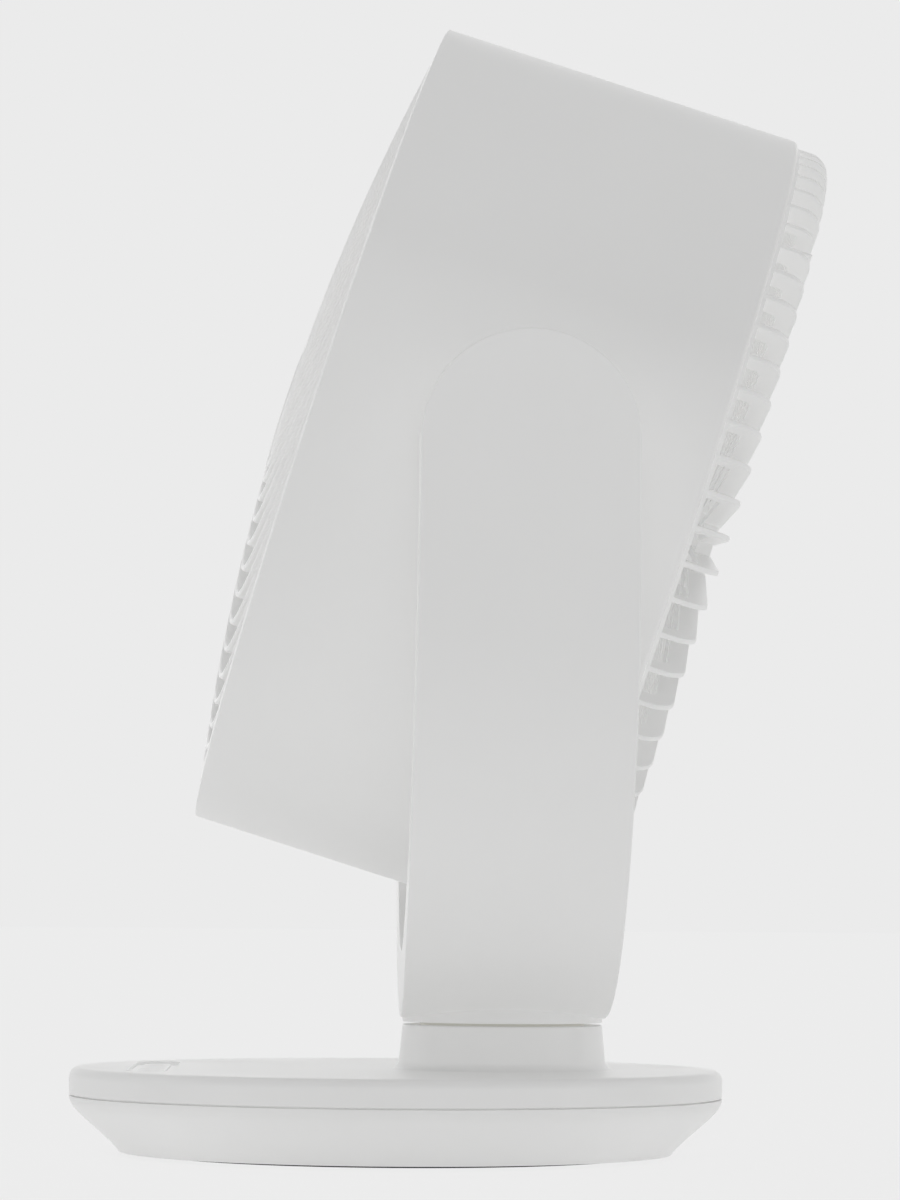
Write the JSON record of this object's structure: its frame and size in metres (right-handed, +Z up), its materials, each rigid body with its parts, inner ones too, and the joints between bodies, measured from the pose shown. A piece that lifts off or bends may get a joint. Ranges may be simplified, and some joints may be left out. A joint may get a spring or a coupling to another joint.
{
  "type": "air circulator fan",
  "caption": "Table air circulator: drum fan with a swirl front grille and ribbed back, tilting in a U-shaped yoke that swivels on a round base with push keys.",
  "frame": {"origin": "centre of the round base, on the plane that its rubber ring stands on", "axes": "+Z up, the fan blows towards -Y, the tilt pivot runs along X"},
  "size_m": [0.316, 0.238, 0.3589],
  "materials": {
    "white_shell": "satin, fine spark texture",
    "white_grille": "satin",
    "white_badge": "smooth gloss",
    "white_key": "smooth satin",
    "white_blade": "smooth satin",
    "black_rubber": "matt",
    "natural_acetal": "smooth",
    "black_plastic": "fine matt",
    "zinc_steel": "zinc plated",
    "ground_steel": "ground",
    "laminated_core": "varnished laminations",
    "cast_ballast": "as cast, dark",
    "green_board": "solder mask",
    "motor_can": "galvanised"
  },
  "bodies": {
    "base": {"base_top_cover": "white_shell", "base_bottom_dish": "white_shell", "base_ballast": "cast_ballast", "rubber_foot_ring": "black_rubber", "base_screws": "zinc_steel", "control_board": "green_board", "board_screws": "zinc_steel", "dc_inlet": "black_plastic", "pan_motor": "motor_can", "pan_motor_screws": "zinc_steel", "swivel_bush": "natural_acetal", "swivel_washer": "natural_acetal"},
    "pan_pinion_body": {"pan_pinion": "natural_acetal"},
    "yoke": {"yoke_outer_cover": "white_shell", "yoke_inner_shell": "white_shell", "yoke_screws": "zinc_steel", "swivel_tube": "natural_acetal", "swivel_gear": "natural_acetal", "swivel_clip": "zinc_steel", "swivel_screws": "zinc_steel", "pivot_bush_left": "natural_acetal", "pivot_bush_right": "natural_acetal", "tilt_motor": "motor_can", "tilt_motor_screws": "zinc_steel"},
    "tilt_pinion_body": {"tilt_pinion": "natural_acetal"},
    "head": {"drum_housing": "white_shell", "front_grille": "white_grille", "front_badge": "white_badge", "rear_grille": "white_grille", "rear_hub_cap": "white_badge", "rear_grille_screws": "zinc_steel", "motor_housing": "motor_can", "motor_front_cap": "motor_can", "motor_screws": "zinc_steel", "motor_bearing_front": "ground_steel", "motor_bearing_rear": "ground_steel", "motor_stator": "laminated_core", "trunnion_left": "natural_acetal", "trunnion_right": "natural_acetal", "trunnion_screws": "zinc_steel", "trunnion_clip_left": "zinc_steel", "trunnion_clip_right": "zinc_steel", "tilt_gear": "natural_acetal"},
    "rotor": {"impeller": "white_blade", "impeller_nut": "white_blade", "motor_shaft": "ground_steel", "motor_rotor": "laminated_core"},
    "key_1": {"push_button_1": "white_key"},
    "key_2": {"push_button_2": "white_key"},
    "key_3": {"push_button_3": "white_key"},
    "key_4": {"push_button_4": "white_key"},
    "key_5": {"push_button_5": "white_key"}
  },
  "joints": [
    {"name": "pan_swivel", "type": "hinge", "parent": "base", "child": "yoke", "pos_m": [0, 0.0337, 0.0418], "axis": [0, 0, 1], "range_deg": [-40, 40]},
    {"name": "pan_pinion_spin", "type": "hinge", "parent": "base", "child": "pan_pinion_body", "pos_m": [0, -0.0023, 0.0205], "axis": [0, 0, 1], "range_deg": [-205, 205]},
    {"name": "head_tilt", "type": "hinge", "parent": "yoke", "child": "head", "pos_m": [0, 0.0337, 0.2145], "axis": [-1, 0, 0], "range_deg": [-17.4, 72.5]},
    {"name": "tilt_pinion_spin", "type": "hinge", "parent": "yoke", "child": "tilt_pinion_body", "pos_m": [0.1495, 0.0337, 0.1935], "axis": [-1, 0, 0], "range_deg": [-185, 50]},
    {"name": "impeller_spin", "type": "hinge", "parent": "head", "child": "rotor", "pos_m": [0, 0.03046, 0.21552], "axis": [0, -0.9541, 0.2995], "continuous": true},
    {"name": "press_key_1", "type": "slide", "parent": "base", "child": "key_1", "axis": [0, 0, -1], "range_m": [0, 0.0005], "stiffness_N_per_m": 300, "springref_m": -0.001},
    {"name": "press_key_2", "type": "slide", "parent": "base", "child": "key_2", "axis": [0, 0, -1], "range_m": [0, 0.0005], "stiffness_N_per_m": 300, "springref_m": -0.001},
    {"name": "press_key_3", "type": "slide", "parent": "base", "child": "key_3", "axis": [0, 0, -1], "range_m": [0, 0.0005], "stiffness_N_per_m": 300, "springref_m": -0.001},
    {"name": "press_key_4", "type": "slide", "parent": "base", "child": "key_4", "axis": [0, 0, -1], "range_m": [0, 0.0005], "stiffness_N_per_m": 300, "springref_m": -0.001},
    {"name": "press_key_5", "type": "slide", "parent": "base", "child": "key_5", "axis": [0, 0, -1], "range_m": [0, 0.0005], "stiffness_N_per_m": 300, "springref_m": -0.001}
  ],
  "couplings": [
    {"joint": "pan_pinion_spin", "follows": "pan_swivel", "ratio": -5},
    {"joint": "tilt_pinion_spin", "follows": "head_tilt", "ratio": -2.5}
  ]
}
